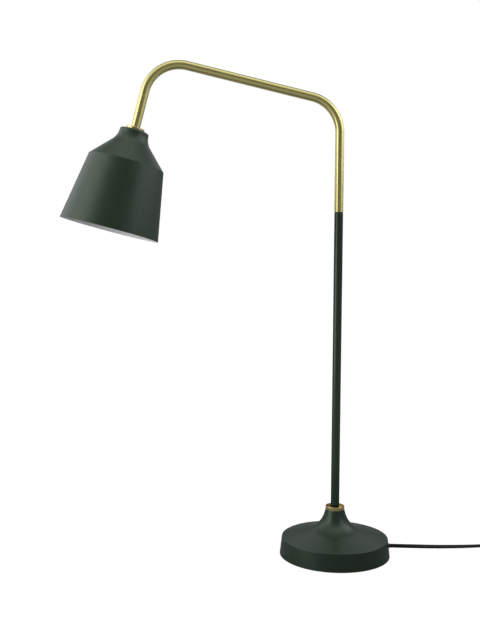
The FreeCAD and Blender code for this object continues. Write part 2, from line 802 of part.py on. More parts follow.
def rocker_pin():
    return at_switch(rocker_pin_form())


def at_plug(shape):
    """Place a piece drawn along +X from the cord's end."""
    placed = shape.copy()
    placed.translate(V(PLUG_X, PLUG_Y, PLUG_H / 2))
    return placed


def plug_relief():
    """Tapered sleeve where the cord enters, with grooves that let it flex."""
    groove_w = 1.2
    groove_step = 3.0
    groove_count = 5
    core_r = 3.0
    sleeve = Part.makeCone(PLUG_RELIEF_R, PLUG_RELIEF_END_R, PLUG_RELIEF_L, V(0, 0, 0), V(1, 0, 0))
    for k in range(groove_count):
        x = groove_step * (k + 1)
        groove = rod_x(PLUG_RELIEF_END_R, x, x + groove_w, 0)
        sleeve = sleeve.cut(groove.cut(rod_x(core_r, x, x + groove_w, 0)))
    return at_plug(sleeve)


def plug_body():
    """Flat two-pin plug, narrow at the cord and wide at the face."""
    start = PLUG_RELIEF_L
    wide = PLUG_W / 2
    half_side = [(start, 6.0), (start + 10.0, 8.5), (start + 20.0, wide), (start + PLUG_L, wide)]
    side_r = 2.4
    flat_r = 1.6
    sides = [V(x, -y, 0) for x, y in half_side] + [V(x, y, 0) for x, y in reversed(half_side)]
    body = Part.Face(Part.makePolygon(sides + sides[:1])).extrude(V(0, 0, PLUG_H))
    body.translate(V(0, 0, -PLUG_H / 2))
    body = body.makeFillet(side_r, [e for e in body.Edges if e.BoundBox.ZLength > 1])
    body = body.makeFillet(flat_r, [e for e in body.Edges if e.BoundBox.ZLength < 0.01])
    return at_plug(body).cut(plug_pins())


def plug_pins():
    face_x = PLUG_RELIEF_L + PLUG_L
    in_body = 6.0
    tip_r = 1.2
    pins = []
    for side in (-1, 1):
        pin = rod_x(PIN_R, face_x - in_body, face_x + PIN_L, 0)
        pin = pin.makeFillet(tip_r, [e for e in pin.Edges if e.BoundBox.XMin > face_x])
        pin.translate(V(0, side * PIN_SPACING / 2, 0))
        pins.append(pin)
    return at_plug(Part.makeCompound(pins))


def cord_coil():
    """Outer form of the wound cord, bulging at its two sides."""
    bulge = 1.4
    middle = COIL_H / 2
    outer_r = COIL_OUT_R - COIL_EDGE
    inner_r = COIL_IN_R + COIL_EDGE
    form = lathe(
        (inner_r, 0), (outer_r, 0), ((outer_r + bulge, middle), (outer_r, COIL_H)),
        (inner_r, COIL_H), ((inner_r - bulge, middle), (inner_r, 0)),
    )
    form.translate(V(COIL_X, COIL_Y, 0))
    return form


def main():
    os.makedirs("parts", exist_ok=True)
    save("base_cover", base_cover())
    save("base_weight", base_weight())
    save("base_plate", base_plate())
    save("base_pad", ring(PAD_R, PAD_IN_R, 0, PAD_H))
    save("plate_screws", plate_screws())
    save("base_collar", base_collar())
    save("cord_gland", cord_gland())
    save("gland_nut", gland_nut())
    save("cord_clamp", cord_clamp())
    save("clamp_screws", clamp_screws())
    save("pole_tube", ring(TUBE_R, TUBE_BORE_R, BOSS_TOP_Z, POLE_TOP_Z))
    save("pole_stem", pole_stem())
    save("stem_washer", stem_washer())
    save("stem_lock_washer", stem_lock_washer())
    save("stem_nut", stem_nut())
    save("swivel_bush", swivel_bush())
    save("stop_pin", stop_pin())
    save("swivel_washer", swivel_washer())
    save("flex_lower", flex_lower())
    save("arm_tube", arm_tube())
    save("swivel_spigot", swivel_spigot())
    save("spigot_clip", spigot_clip())
    save("flex_upper", flex_upper())
    save("shade_collar", shade_collar())
    save("arm_nipple", arm_nipple())
    save("shade", shade())
    save("holder_cap", holder_cap())
    save("holder_body", holder_body())
    save("holder_shell", holder_shell())
    save("holder_contact", holder_contact())
    save("holder_ring", holder_ring())
    save("bulb_cap", bulb_cap())
    save("bulb_glass", bulb_glass())
    save("cord_lead", free_cord("cord_lead", LEAD_ROUTE))
    save("switch_base", switch_base())
    save("switch_cover", switch_cover())
    save("switch_screws", switch_screws())
    save("switch_rocker", switch_rocker())
    save("rocker_pin", rocker_pin())
    save("cord_tail", free_cord("cord_tail", TAIL_ROUTE))
    save("cord_coil", cord_coil())
    save("cord_end", free_cord("cord_end", END_ROUTE))
    save("plug_relief", plug_relief())
    save("plug_body", plug_body())
    save("plug_pins", plug_pins())


main()
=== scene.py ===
import math

import bpy
from mathutils import Matrix, Vector


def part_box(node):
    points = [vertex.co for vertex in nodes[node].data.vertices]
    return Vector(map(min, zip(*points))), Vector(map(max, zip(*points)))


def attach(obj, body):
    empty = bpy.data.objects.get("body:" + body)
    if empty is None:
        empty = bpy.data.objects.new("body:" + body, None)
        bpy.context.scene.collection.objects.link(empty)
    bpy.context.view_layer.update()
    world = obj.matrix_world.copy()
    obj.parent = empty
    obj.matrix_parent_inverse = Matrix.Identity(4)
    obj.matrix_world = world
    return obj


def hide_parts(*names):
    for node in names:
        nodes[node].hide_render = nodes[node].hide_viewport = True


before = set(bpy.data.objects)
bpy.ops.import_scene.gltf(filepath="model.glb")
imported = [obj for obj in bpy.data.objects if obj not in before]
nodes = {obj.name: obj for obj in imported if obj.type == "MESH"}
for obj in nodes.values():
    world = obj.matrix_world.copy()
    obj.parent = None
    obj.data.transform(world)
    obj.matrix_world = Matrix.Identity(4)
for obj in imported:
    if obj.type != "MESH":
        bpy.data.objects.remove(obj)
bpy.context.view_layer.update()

MM = 0.001

# Camera, from a perspective fit of the base, the pole and the shade
CAMERA_PLACE = Vector((-0.1345, -1.1840, 0.4096))
CAMERA_DOWN = math.radians(3.6)
CAMERA_ROLL = math.radians(0.34)
CAMERA_LENS = 49.02            # on the default 36 mm sensor, along the picture's long side
CAMERA_CLIP = (0.05, 30)

# Arm, in metres: the centreline's corners and bends, as in the CAD
TUBE_R = 0.006
ARM_TURN = math.radians(9)     # from -X towards -Y
ARM_SLOPE = math.radians(11.5)
ARM_BEND_R = 0.048
ARM_REACH = 0.253
ARM_CORNER_Z = 0.6244
ARM_STEP = 0.012               # between the points of a straight run
ARM_BEND_STEPS = 28
ARM_AROUND = 48
ARM_CHAMFER = (0.0003, 0.0004)  # at the lower end, inwards and upwards

# Shade, as in the CAD. A name in _S is a distance along the shade's axis, from the arm's
# outer corner.
SHADE_TILT = math.radians(14.4)
COLLAR_S = 0.0952
SHADE_MOUTH_S = 0.233
SHADE_RIM = 0.01               # the rolled edge is within this of the mouth
LEVEL_FACE = 0.97              # normal's part along the axis
INNER_FACE = -0.05             # normal's part away from the axis, at the most

# Lampholder and bulb
THREAD_R = 0.0132
THREAD_PITCH = 0.0036
THREAD_DEPTH = 0.0014
THREAD_ROWS = 10               # in each pitch
THREAD_AROUND = 72
HOLDER_R = 0.017
HOLDER_BORE_R = THREAD_R + 0.0016
HOLDER_BODY_S = 0.116
HOLDER_END_S = 0.148
HOLDER_EDGE = 0.0004           # chamfer at its upper end
HOLDER_LIP = (0.0006, 0.001)   # chamfer at its lower end, inwards and upwards
HOLDER_PLAIN = 0.004           # smooth length above and below the ribs
HOLDER_RIBS = 7
RIB_POINTS = 8
RIB_SINK = 0.0003              # the ribs' middle radius is this much under the body's
RIB_WAVE = 0.0005              # half their height
BULB_R = 0.0225
BULB_CENTRE_S = 0.174
BULB_STEPS = 40
BULB_SHOULDER = 6              # degrees of the globe that its neck replaces
BULB_THROAT = (0.0006, 0.0012)  # the neck's widest point: out from the thread, up from the globe
BULB_NECK = 0.030              # from the top of the holder's body to the end of the glass
CAP_TOP = 0.009                # from the top of the holder's body to the top of the bulb's cap
CAP_LENGTH = 0.021

# Meshes
ON_AXIS = 1e-7                 # a smaller radius is a point on the axis
LATHE_AROUND = 144
SHARP_ANGLE = math.radians(35)

# Studio, as brightness read by the camera
DIM_WORLD = 0.17
FLOOR_REACH = 12.0
FLOOR_GLOW = (0.86, 1.0)       # to the camera, under the lamp and far from it
FLOOR_GLOW_SPAN = (0.6, 1.8)   # the distances from the lamp between which it changes
FLOOR_DIM = (0.0, 0.28)        # to everything else
FLOOR_DIM_SPAN = (0.2, 0.9)
LIT_X = -0.13                  # the softboxes stand round this point of the X axis
# azimuth from the camera's side, distance, middle height, width, height, brightness
SOFTBOXES = {
    "left_box": (-62, 1.35, 0.80, 1.00, 1.50, 2.45),
    "left_back_box": (-108, 1.40, 1.35, 1.50, 1.40, 1.35),
    "right_box": (88, 1.25, 1.22, 1.80, 1.10, 2.0),
    "back_box": (180, 1.60, 1.40, 2.60, 1.20, 0.50),
}
TOP_BOX = (-0.35, 1.7, 2.2, 1.2, 1.15)  # y, height, width, depth, brightness

# Cord, a flat two-core lead
CORD_WIDTH = 0.0054
CORD_THICK = 0.0034
SECTION_POINTS = 28
SECTION_FULLNESS = 0.62        # the power that fills out the section's sides; 1 is an ellipse
WAIST_DEPTH = 0.10             # part of the thickness
WAIST_WIDTH = 0.22             # part of the width
LEAD_ROUTE = [
    (79.2, 10.6, 9.0), (108.0, 14.3, 7.2), (152.0, 22.3, 3.9), (205.0, 30.3, 2.3),
    (238.0, 36.4, 2.7), (262.0, 38.0, 5.4),
]
LEAD_TWIST = (80, 62, 35, 18, 4, 0)  # degrees at each point: it leaves the gland on edge
TAIL_ROUTE = [
    (322.0, 38.0, 5.4), (351.5, 36.6, 2.3), (368.6, 8.0, 2.4), (351.0, -21.6, 2.3),
    (317.0, -20.4, 2.5), (292.0, -21.6, 2.6), (268.0, -22.3, 2.4),
]
END_ROUTE = [
    (268.0, -91.4, 8.6), (284.0, -87.5, 7.6), (299.0, -75.5, 6.4), (316.0, -70.0, 6.85),
]
COIL_TURNS = 7
COIL_PART_TURN = math.radians(168)
COIL_START = math.radians(92)
COIL_POINTS = 16               # in each turn
COIL_EDGE = 0.0004             # between the outer turn and the CAD ring's outside
COIL_FLOOR = 0.0002            # under the lowest turn
COIL_BREADTH = 2               # cord widths between the outer and the inner turns
LAST_LAYER = 2                 # counted from 0
LAYER_TURNS = 2.5
LAYER_RISE = 0.0036
LAYER_CLIMB = 0.08             # the last part of a layer, where the cord climbs to the next
LAST_LAYER_DEPTH = 0.8         # how far in the last layer goes, as part of the others


# ---------------------------------------------------------------- camera

def make_camera():
    data = bpy.data.cameras.new("camera")
    data.lens = CAMERA_LENS
    data.clip_start, data.clip_end = CAMERA_CLIP
    camera = bpy.data.objects.new("camera", data)
    bpy.context.scene.collection.objects.link(camera)
    tilt = Matrix.Rotation(math.pi / 2 - CAMERA_DOWN, 4, "X")
    roll = Matrix.Rotation(CAMERA_ROLL, 4, "Z")
    camera.matrix_world = Matrix.Translation(CAMERA_PLACE) @ tilt @ roll
    bpy.context.scene.camera = camera


# ---------------------------------------------------------------- free cord

def cord_section():
    """Closed oval of the flat lead: two cores side by side with a shallow waist."""
    data = bpy.data.curves.new("cord_section", "CURVE")
    data.dimensions = "2D"
    spline = data.splines.new("POLY")
    points = []
    for k in range(SECTION_POINTS):
        a = math.tau * k / SECTION_POINTS
        across = math.cos(a)
        waist = 1 - WAIST_DEPTH * math.exp(-(across / WAIST_WIDTH) ** 2)
        swell = abs(math.sin(a)) ** SECTION_FULLNESS
        up = math.copysign(swell, math.sin(a)) * waist
        points.append((CORD_WIDTH / 2 * across, CORD_THICK / 2 * up))
    spline.points.add(SECTION_POINTS - 1)
    for point, (x, y) in zip(spline.points, points):
        point.co = (x, y, 0, 1)
    spline.use_cyclic_u = True
    section = bpy.data.objects.new("cord_section", data)
    bpy.context.scene.collection.objects.link(section)
    section.hide_render = True
    section.hide_viewport = True
    return section


def cord_curve(name, points, tilts, section):
    """Smooth cord through its route's control points, with the section swept along it."""
    data = bpy.data.curves.new(name, "CURVE")
    data.dimensions = "3D"
    data.bevel_mode = "OBJECT"
    data.bevel_object = section
    data.use_fill_caps = True
    data.twist_mode = "Z_UP"
    data.resolution_u = 8
    spline = data.splines.new("NURBS")
    spline.points.add(len(points) - 1)
    for point, place, tilt in zip(spline.points, points, tilts):
        point.co = (*place, 1)
        point.tilt = tilt
    spline.order_u = 3
    spline.use_endpoint_u = True
    curve = bpy.data.objects.new(name, data)
    bpy.context.scene.collection.objects.link(curve)
    return curve


def metres(route):
    """A route's points, which are written in millimetres as in the CAD."""
    return [Vector(p) * MM for p in route]


def coil_points():
    """Turns that wind inwards, then outwards, then in and out again, each layer on the last."""
    low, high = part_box("cord_coil")
    centre = (low + high) / 2
    outer = (high.x - low.x) / 2 - CORD_WIDTH / 2 - COIL_EDGE
    inner = outer - COIL_BREADTH * CORD_WIDTH
    sweep = COIL_TURNS * math.tau + COIL_PART_TURN
    count = round(sweep / math.tau * COIL_POINTS)
    points = []
    for k in range(1, count):
        turned = sweep * k / count / math.tau
        layer = min(int(turned / LAYER_TURNS), LAST_LAYER)
        along = turned / LAYER_TURNS - layer
        inwards = along if layer % 2 == 0 else 1 - along
        rise = min(max((along - (1 - LAYER_CLIMB)) / LAYER_CLIMB, 0), 1)
        if layer == LAST_LAYER:
            part = min(along / (sweep / math.tau / LAYER_TURNS - LAST_LAYER), 1)
            inwards = math.sin(math.pi * part) * LAST_LAYER_DEPTH
            rise = 0
        angle = COIL_START + turned * math.tau
        radius = outer + (inner - outer) * inwards
        height = CORD_THICK / 2 + COIL_FLOOR + (layer + rise) * LAYER_RISE
        x = centre.x + radius * math.cos(angle)
        y = centre.y + radius * math.sin(angle)
        points.append(Vector((x, y, height)))
    return points


def make_cords():
    section = cord_section()
    lead_tilt = [math.radians(a) for a in LEAD_TWIST]
    lead = cord_curve("lead", metres(LEAD_ROUTE), lead_tilt, section)
    tail_points = metres(TAIL_ROUTE) + coil_points() + metres(END_ROUTE)
    tail = cord_curve("tail", tail_points, [0.0] * len(tail_points), section)
    return lead, tail


# ---------------------------------------------------------------- materials

class Shader:
    """One material: a Principled shader with helpers for its procedural detail."""

    def __init__(self, name, color, roughness, metallic=0.0):
        self.material = bpy.data.materials.new(name)
        self.material.use_nodes = True
        self.tree = self.material.node_tree
        self.shader = self.tree.nodes["Principled BSDF"]
        self.shader.inputs["Base Color"].default_value = (*color, 1)
        self.shader.inputs["Roughness"].default_value = roughness
        self.shader.inputs["Metallic"].default_value = metallic
        self.normal = None

    def add(self, kind, **values):
        node = self.tree.nodes.new(kind)
        for key, value in values.items():
            setattr(node, key, value)
        return node

    def link(self, out, into):
        self.tree.links.new(out, into)

    def place(self, scale=(1, 1, 1), source="Object"):
        """Coordinates for a texture, in metres unless they are the UV's."""
        coordinate = self.add("ShaderNodeTexCoord")
        mapping = self.add("ShaderNodeMapping")
        mapping.inputs["Scale"].default_value = scale
        self.link(coordinate.outputs[source], mapping.inputs["Vector"])
        return mapping.outputs["Vector"]

    def noise(self, scale, detail, rough=0.55, stretch=(1, 1, 1), source="Object"):
        node = self.add("ShaderNodeTexNoise")
        node.inputs["Scale"].default_value = scale
        node.inputs["Detail"].default_value = detail
        node.inputs["Roughness"].default_value = rough
        self.link(self.place(stretch, source), node.inputs["Vector"])
        return node.outputs["Fac"]

    def spread(self, value, low, high, to_low, to_high):
        """Takes low..high smoothly to to_low..to_high."""
        node = self.add("ShaderNodeMapRange", interpolation_type="SMOOTHSTEP")
        ends = {"From Min": low, "From Max": high, "To Min": to_low, "To Max": to_high}
        for key, number in ends.items():
            node.inputs[key].default_value = number
        self.link(value, node.inputs["Value"])
        return node.outputs["Result"]

    def combine(self, operation, a, b):
        node = self.add("ShaderNodeMath", operation=operation)
        for socket, value in zip(node.inputs, (a, b)):
            if isinstance(value, (int, float)):
                socket.default_value = value
            else:
                self.link(value, socket)
        return node.outputs["Value"]

    def ramp(self, value, low, high):
        """Colour that runs between two stops, each a (position, colour)."""
        node = self.add("ShaderNodeValToRGB")
        for element, (position, color) in zip(node.color_ramp.elements, (low, high)):
            element.position = position
            element.color = (*color, 1)
        self.link(value, node.inputs["Fac"])
        return node.outputs["Color"]

    def color(self, output):
        self.link(output, self.shader.inputs["Base Color"])

    def rough(self, output):
        self.link(output, self.shader.inputs["Roughness"])

    def bump(self, height, distance, strength):
        """Adds a bump on top of those already there; distance is in metres."""
        node = self.add("ShaderNodeBump")
        node.inputs["Strength"].default_value = strength
        node.inputs["Distance"].default_value = distance
        self.link(height, node.inputs["Height"])
        if self.normal is not None:
            self.link(self.normal, node.inputs["Normal"])
        self.normal = node.outputs["Normal"]
        self.link(self.normal, self.shader.inputs["Normal"])


GREEN = (0.012, 0.026, 0.014)
COAT_GLINT = (0.82, 1.0, 0.86)  # specular tint: the photograph's highlights are slightly green
BRASS = (0.55, 0.50, 0.19)
RING_BRASS = (0.60, 0.49, 0.22)


def shade_of(color, factor):
    """The colour made lighter or darker."""
    return tuple(min(c * factor, 1.0) for c in color)


def powder_coat(name, color, roughness):
    """Satin powder coat: orange peel and slight cloudiness."""
    m = Shader(name, color, roughness)
    m.shader.inputs["IOR"].default_value = 1.52
    m.shader.inputs["Specular Tint"].default_value = (*COAT_GLINT, 1)
    cloud = m.noise(28, 4, 0.6)
    m.color(m.ramp(cloud, (0.30, shade_of(color, 0.92)), (0.70, shade_of(color, 1.08))))
    m.rough(m.spread(m.noise(120, 3, 0.6), 0.3, 0.7, roughness - 0.02, roughness + 0.02))
    m.bump(m.noise(1500, 2, 0.5), 0.000003, 0.3)
    return m.material


def white_lacquer():
    """Matt white stoving lacquer inside the shade."""
    m = Shader("white_lacquer", (0.78, 0.77, 0.78), 0.55)
    cloud = m.noise(40, 3)
    m.color(m.ramp(cloud, (0.3, (0.74, 0.73, 0.75)), (0.7, (0.80, 0.79, 0.80))))
    m.bump(m.noise(1100, 2), 0.00003, 0.3)
    return m.material


def brushed_brass():
    """Lacquered brass, ground round the tube, so its highlights stretch along it."""
    m = Shader("brushed_brass", BRASS, 0.30, 1.0)
    m.shader.inputs["Anisotropic"].default_value = 0.85
    m.shader.inputs["Anisotropic Rotation"].default_value = 0.25
    tangent = m.add("ShaderNodeTangent", direction_type="UV_MAP", uv_map="along")
    m.link(tangent.outputs["Tangent"], m.shader.inputs["Tangent"])
    m.shader.inputs["Coat Weight"].default_value = 0.6
    m.shader.inputs["Coat Roughness"].default_value = 0.16
    stain = m.noise(22, 4, 0.6)
    m.color(m.ramp(stain, (0.34, shade_of(BRASS, 0.95)), (0.66, shade_of(BRASS, 1.04))))
    lines = m.noise(12, 2, 0.5, (0.25, 1, 1), "UV")
    m.rough(m.spread(lines, 0.25, 0.75, 0.285, 0.315))
    return m.material


def turned_brass():
    """Brass part finished on a lathe: fine rings about its axis."""
    color = RING_BRASS
    m = Shader("turned_brass", color, 0.24, 1.0)
    m.shader.inputs["Coat Weight"].default_value = 0.35
    m.shader.inputs["Coat Roughness"].default_value = 0.12
    rings = m.noise(900, 2, 0.6, (0.05, 0.05, 1))
    stain = m.noise(90, 4, 0.6)
    m.color(m.ramp(stain, (0.32, shade_of(color, 0.85)), (0.68, shade_of(color, 1.08))))
    m.rough(m.spread(rings, 0.3, 0.7, 0.18, 0.32))
    m.bump(rings, 0.00002, 0.3)
    return m.material


def zinc():
    """Zinc plated steel, slightly yellow and cloudy."""
    color = (0.50, 0.50, 0.47)
    m = Shader("zinc", color, 0.35, 1.0)
    spangle = m.noise(700, 4, 0.7)
    m.color(m.ramp(spangle, (0.3, shade_of(color, 0.8)), (0.7, (0.56, 0.55, 0.49))))
    m.rough(m.spread(spangle, 0.3, 0.7, 0.28, 0.45))
    m.bump(m.noise(1800, 2), 0.00002, 0.4)
    return m.material


def cast_iron():
    """Rough casting under black primer, with rust where the primer is thin."""
    color = (0.035, 0.034, 0.033)
    m = Shader("cast_iron", color, 0.75, 0.2)
    rust = m.noise(70, 5, 0.65)
    m.color(m.ramp(rust, (0.45, color), (0.72, (0.075, 0.045, 0.028))))
    m.bump(m.noise(420, 5, 0.7), 0.0003, 0.7)
    m.bump(m.noise(90, 3), 0.0004, 0.3)
    return m.material


def black_steel():
    """Blackened plate, rubbed greyer along its streaks."""
    color = (0.022, 0.022, 0.023)
    m = Shader("black_steel", color, 0.5, 0.4)
    worn = m.noise(160, 6, 0.75, (1, 6, 1))
    m.color(m.ramp(worn, (0.5, color), (0.8, (0.06, 0.06, 0.06))))
    m.rough(m.spread(worn, 0.3, 0.7, 0.42, 0.6))
    m.bump(m.noise(1200, 2), 0.00003, 0.4)
    return m.material


def foam_rubber():
    """Foam rubber: small cut cells on the surface, with painted shade darkening the hollow of each
    cell.
    """
    color = (0.018, 0.018, 0.019)
    m = Shader("foam_rubber", color, 0.92)
    cells = m.add("ShaderNodeTexVoronoi")
    cells.inputs["Scale"].default_value = 1700
    m.link(m.place(), cells.inputs["Vector"])
    depth = cells.outputs["Distance"]
    # painted shade: the colour follows the cells' depth, darkest in their hollows and lighter on
    # their rims
    m.color(m.ramp(depth, (0.1, shade_of(color, 0.6)), (0.6, shade_of(color, 1.6))))
    m.bump(depth, 0.0002, 0.6)
    return m.material


def moulded(name, color, roughness, grain=1600, depth=0.00003):
    """Moulded plastic: fine spark texture, faint handling marks."""
    m = Shader(name, color, roughness)
    marks = m.noise(45, 5, 0.7)
    m.color(m.ramp(marks, (0.35, shade_of(color, 0.82)), (0.7, shade_of(color, 1.3))))
    m.rough(m.spread(marks, 0.3, 0.7, roughness - 0.06, roughness + 0.08))
    m.bump(m.noise(grain, 2), depth, 0.5)
    return m.material


def cord_sheath():
    """Soft black PVC, dull and slightly dusty."""
    color = (0.005, 0.005, 0.006)
    m = Shader("cord_sheath", color, 0.55)
    m.shader.inputs["Specular IOR Level"].default_value = 0.22
    dust = m.noise(300, 5, 0.7)
    m.color(m.ramp(dust, (0.45, color), (0.90, (0.022, 0.021, 0.021))))
    m.rough(m.spread(m.noise(160, 3), 0.3, 0.7, 0.48, 0.62))
    m.bump(m.noise(1300, 3), 0.00004, 0.45)
    return m.material


def frosted_glass():
    """Frosted bulb glass: mostly scatters light and lets some through."""
    m = Shader("frosted_glass", (0.93, 0.93, 0.91), 0.35)
    m.shader.inputs["Transmission Weight"].default_value = 0.35
    m.shader.inputs["Subsurface Weight"].default_value = 0.2
    m.shader.inputs["Subsurface Radius"].default_value = (0.004, 0.004, 0.004)
    m.rough(m.spread(m.noise(900, 3), 0.3, 0.7, 0.28, 0.45))
    m.color(m.ramp(m.noise(60, 3), (0.3, (0.90, 0.90, 0.87)), (0.7, (0.95, 0.95, 0.94))))
    m.bump(m.noise(2200, 2), 0.00002, 0.3)
    return m.material


def plain_floor():
    """Pale floor: bright to the camera, dimmer to the lamp, and clear from below."""
    m = Shader("floor", (0.28, 0.28, 0.28), 0.75)
    m.shader.inputs["Specular IOR Level"].default_value = 0.0
    m.shader.inputs["Emission Color"].default_value = (1, 1, 1, 1)
    seen = m.add("ShaderNodeLightPath").outputs["Is Camera Ray"]
    far = m.add("ShaderNodeVectorMath", operation="LENGTH")
    m.link(m.place(), far.inputs[0])
    away = far.outputs["Value"]
    glow = m.combine("MULTIPLY", seen, m.spread(away, *FLOOR_GLOW_SPAN, *FLOOR_GLOW))
    unseen = m.combine("SUBTRACT", 1.0, seen)
    dim = m.combine("MULTIPLY", unseen, m.spread(away, *FLOOR_DIM_SPAN, *FLOOR_DIM))
    m.link(m.combine("ADD", glow, dim), m.shader.inputs["Emission Strength"])
    clear = m.add("ShaderNodeBsdfTransparent")
    one_sided = m.add("ShaderNodeMixShader")
    m.link(m.add("ShaderNodeNewGeometry").outputs["Backfacing"], one_sided.inputs["Fac"])
    m.link(m.shader.outputs["BSDF"], one_sided.inputs[1])
    m.link(clear.outputs["BSDF"], one_sided.inputs[2])
    m.link(one_sided.outputs["Shader"], m.tree.nodes["Material Output"].inputs["Surface"])
    m.rough(m.spread(m.noise(8, 4), 0.3, 0.7, 0.7, 0.8))
    return m.material


# ---------------------------------------------------------------- mesh pieces

def mesh_object(name, vertices, faces, material, uvs=None):
    """Smooth mesh with hard edges only where it turns sharply."""
    mesh = bpy.data.meshes.new(name)
    mesh.from_pydata([tuple(v) for v in vertices], [], faces)
    if uvs is not None:
        layer = mesh.uv_layers.new(name="along")
        for loop, uv in zip(layer.data, uvs):
            loop.uv = uv
    mesh.materials.append(material)
    mesh.validate()
    mesh.polygons.foreach_set("use_smooth", [True] * len(mesh.polygons))
    mesh.set_sharp_from_angle(angle=SHARP_ANGLE)
    made = bpy.data.objects.new(name, mesh)
    bpy.context.scene.collection.objects.link(made)
    return made


def lathe(name, profile, material, closed=True):
    """Turn a (radius, height) outline about the shade's axis; points on it close the piece."""
    place = shade_frame()
    vertices = []
    rows = []
    for radius, height in profile:
        if radius < ON_AXIS:
            rows.append([len(vertices)] * LATHE_AROUND)
            vertices.append(place @ Vector((0, 0, height)))
            continue
        rows.append([len(vertices) + k for k in range(LATHE_AROUND)])
        for k in range(LATHE_AROUND):
            a = math.tau * k / LATHE_AROUND
            vertices.append(place @ Vector((radius * math.cos(a), radius * math.sin(a), height)))
    faces = []
    following = rows[1:] + rows[:1] if closed else rows[1:]
    for a, b in zip(rows, following):
        for k in range(LATHE_AROUND):
            n = (k + 1) % LATHE_AROUND
            corners = [a[k], a[n], b[n], b[k]]
            face = [c for i, c in enumerate(corners) if c not in corners[:i]]
            if len(face) > 2:
                faces.append(face)
    return mesh_object(name, vertices, faces, material)


def arc(centre, radius, start, end, steps):
    """Points of an arc in the outline's plane, angles in degrees."""
    across, up = centre
    angles = [math.radians(start + (end - start) * k / steps) for k in range(steps + 1)]
    return [(across + radius * math.cos(a), up + radius * math.sin(a)) for a in angles]


def shade_frame():
    """Places a piece drawn hanging down the Z axis on the shade's axis."""
    corner = Vector((-ARM_REACH, 0, ARM_CORNER_Z + ARM_REACH * math.tan(ARM_SLOPE)))
    turn = Matrix.Rotation(ARM_TURN, 4, "Z")
    return turn @ Matrix.Translation(corner) @ Matrix.Rotation(SHADE_TILT, 4, "Y")


def straight_run(start, end):
    """Points after the start of a straight run, up to its end."""
    runs = max(2, round((end - start).length / ARM_STEP))
    return [start.lerp(end, k / runs) for k in range(1, runs + 1)]


def arm_line():
    """Points along the arm's centreline: straight runs with round bends."""
    low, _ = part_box("arm_tube")
    place = shade_frame()
    end = place @ Vector((0, 0, -COLLAR_S))
    corners = [Vector((0, 0, low.z)), Vector((0, 0, ARM_CORNER_Z)), place.translation, end]
    line = [corners[0]]
    for before, corner, after in zip(corners, corners[1:], corners[2:]):
        into = (corner - before).normalized()
        out = (after - corner).normalized()
        half = into.angle(out) / 2
        start = corner - into * (ARM_BEND_R * math.tan(half))
        centre = start + (out - into * into.dot(out)).normalized() * ARM_BEND_R
        turn = Matrix.Rotation(2 * half / ARM_BEND_STEPS, 4, into.cross(out))
        line += straight_run(line[-1], start)[:-1]
        spoke = start - centre
        for _ in range(ARM_BEND_STEPS + 1):
            line.append(centre + spoke)
            spoke = turn @ spoke
    line += straight_run(line[-1], end)
    return line


def arm_mesh(material):
    """Bent tube with a small chamfer at its lower end; UV runs along and round it."""
    line = arm_line()
    inwards, upwards = ARM_CHAMFER
    line.insert(1, line[0] + (line[1] - line[0]).normalized() * upwards)
    side = Vector((-math.sin(ARM_TURN), math.cos(ARM_TURN), 0))
    around = ARM_AROUND
    vertices = []
    lengths = []
    travelled = 0.0
    for k, point in enumerate(line):
        ahead = line[min(k + 1, len(line) - 1)] - line[max(k - 1, 0)]
        up = ahead.normalized().cross(side)
        travelled += (point - line[k - 1]).length if k else 0
        lengths.append(travelled)
        radius = TUBE_R if k else TUBE_R - inwards
        for j in range(around):
            a = math.tau * j / around
            vertices.append(point + (side * math.cos(a) + up * math.sin(a)) * radius)
    faces = []
    uvs = []
    for k in range(len(line) - 1):
        for j in range(around):
            n = (j + 1) % around
            here, there = k * around, (k + 1) * around
            faces.append((here + j, here + n, there + n, there + j))
            for row, column in ((k, j), (k, j + 1), (k + 1, j + 1), (k + 1, j)):
                uvs.append((column / around, lengths[row] / (math.tau * TUBE_R)))
    for start in (0, (len(line) - 1) * around):
        faces.append(tuple(range(start, start + around)))
        uvs += [(0, 0)] * around
    return mesh_object("arm_brass", vertices, faces, material, uvs)


def bulb_mesh(material):
    """Round globe that narrows smoothly to its cap."""
    side = math.sqrt(BULB_R ** 2 - THREAD_R ** 2)
    end = math.degrees(math.atan2(side, THREAD_R))
    globe = arc((0, -BULB_CENTRE_S), BULB_R, -90, end - BULB_SHOULDER, BULB_STEPS)
    globe[0] = (0, globe[0][1])
    outwards, upwards = BULB_THROAT
    throat = (THREAD_R + outwards, -BULB_CENTRE_S + side + upwards)
    neck_s = HOLDER_BODY_S + BULB_NECK
    profile = globe + [throat, (THREAD_R, -neck_s), (0, -neck_s)]
    return lathe("bulb_globe", profile, material, closed=False)


def bulb_thread(material):
    """Rolled round thread of the bulb's cap: a helix on a cylinder, closed at both ends."""
    top = -HOLDER_BODY_S - CAP_TOP
    bottom = top - CAP_LENGTH
    rows = round((top - bottom) / THREAD_PITCH * THREAD_ROWS)
    segments = THREAD_AROUND
    place = shade_frame()
    vertices = []
    for i in range(rows + 1):
        height = top + (bottom - top) * i / rows
        fade = min(i, rows - i, THREAD_ROWS) / THREAD_ROWS
        for k in range(segments):
            a = math.tau * k / segments
            wave = math.sin(math.tau * (height / THREAD_PITCH) + a) * 0.5 - 0.5
            r = THREAD_R + THREAD_DEPTH * wave * fade
            vertices.append(place @ Vector((r * math.cos(a), r * math.sin(a), height)))
    faces = [
        (i * segments + k, i * segments + (k + 1) % segments,
         (i + 1) * segments + (k + 1) % segments, (i + 1) * segments + k)
        for i in range(rows) for k in range(segments)
    ]
    faces.append(tuple(range(segments)))
    faces.append(tuple(range(rows * segments, (rows + 1) * segments)))
    return mesh_object("bulb_thread", vertices, faces, material)


